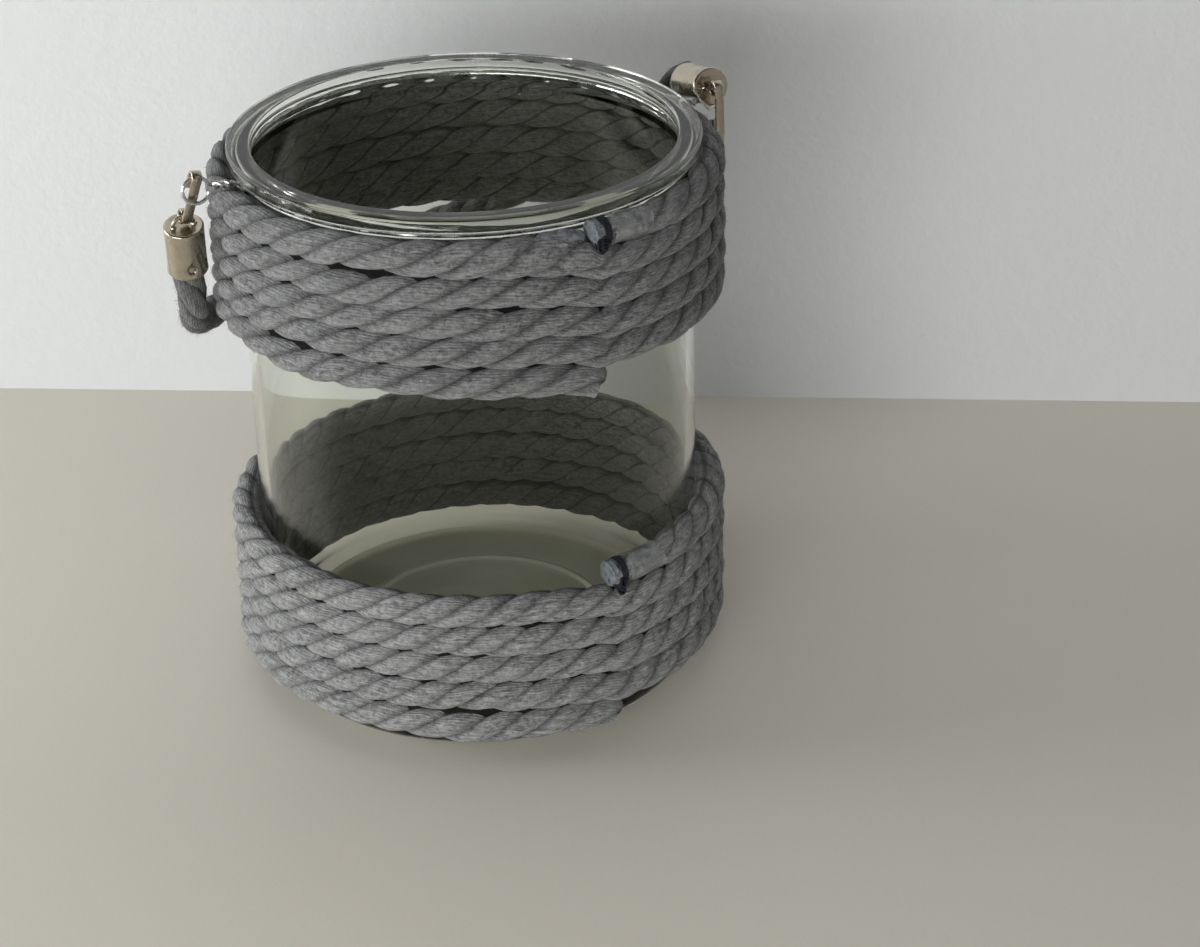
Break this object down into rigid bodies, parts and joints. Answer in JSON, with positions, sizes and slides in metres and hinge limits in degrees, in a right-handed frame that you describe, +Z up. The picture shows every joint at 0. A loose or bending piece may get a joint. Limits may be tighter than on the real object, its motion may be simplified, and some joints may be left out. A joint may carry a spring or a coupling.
{
  "type": "glass canister",
  "caption": "Open clear glass jar with a beaded lip, wound near its top and foot with grey cotton rope, and a rope handle hooked into twisted wire eyelets.",
  "frame": {"origin": "centre of the jar's flat base, on the surface it stands on", "axes": "+Z up along the jar's axis; X runs through the two wire eyelets, with the hanging cap at -X; the handle rests behind the jar at +Y"},
  "size_m": [0.1849, 0.173, 0.1826],
  "materials": {
    "glass": "polished",
    "rope": "twisted cotton, matt",
    "wire": "bright",
    "fittings": "champagne nickel plate, polished",
    "tape": "clear, glossy",
    "thread": "matt"
  },
  "bodies": {
    "jar": {"glass_jar": "glass", "upper_winding": "rope", "lower_winding": "rope", "upper_end_tape": "tape", "lower_end_tape": "tape", "upper_end_thread": "thread", "lower_end_thread": "thread", "collar_front_wire": "wire", "collar_back_wire": "wire"},
    "handle": {"handle_rope": "rope"},
    "left_end": {"left_cap": "fittings", "left_bail": "fittings", "left_hook": "fittings"},
    "right_end": {"right_cap": "fittings", "right_bail": "fittings"},
    "right_hook": {"right_hook": "fittings"}
  },
  "joints": [
    {"name": "handle_swing", "type": "hinge", "parent": "jar", "child": "handle", "pos_m": [0, 0, 0.17745], "axis": [1, 0, 0], "range_deg": [0, 245], "deforming": ["handle_rope"]},
    {"name": "left_end_swing", "type": "hinge", "parent": "handle", "child": "left_end", "pos_m": [-0.08487, 0, 0.17745], "axis": [1, 0, 0], "range_deg": [0, 69.2]},
    {"name": "right_end_swing", "type": "hinge", "parent": "handle", "child": "right_end", "pos_m": [0.08531, 0, 0.17745], "axis": [1, 0, 0], "range_deg": [-53.1, 0]},
    {"name": "right_hook_swing", "type": "hinge", "parent": "right_end", "child": "right_hook", "pos_m": [0.08531, 0, 0.17745], "axis": [1, 0, 0], "range_deg": [-192.2, 0]}
  ],
  "couplings": [
    {"joint": "left_end_swing", "follows": "handle_swing", "ratio": 0.282},
    {"joint": "right_end_swing", "follows": "handle_swing", "ratio": -0.2163},
    {"joint": "right_hook_swing", "follows": "handle_swing", "ratio": -0.7837}
  ]
}
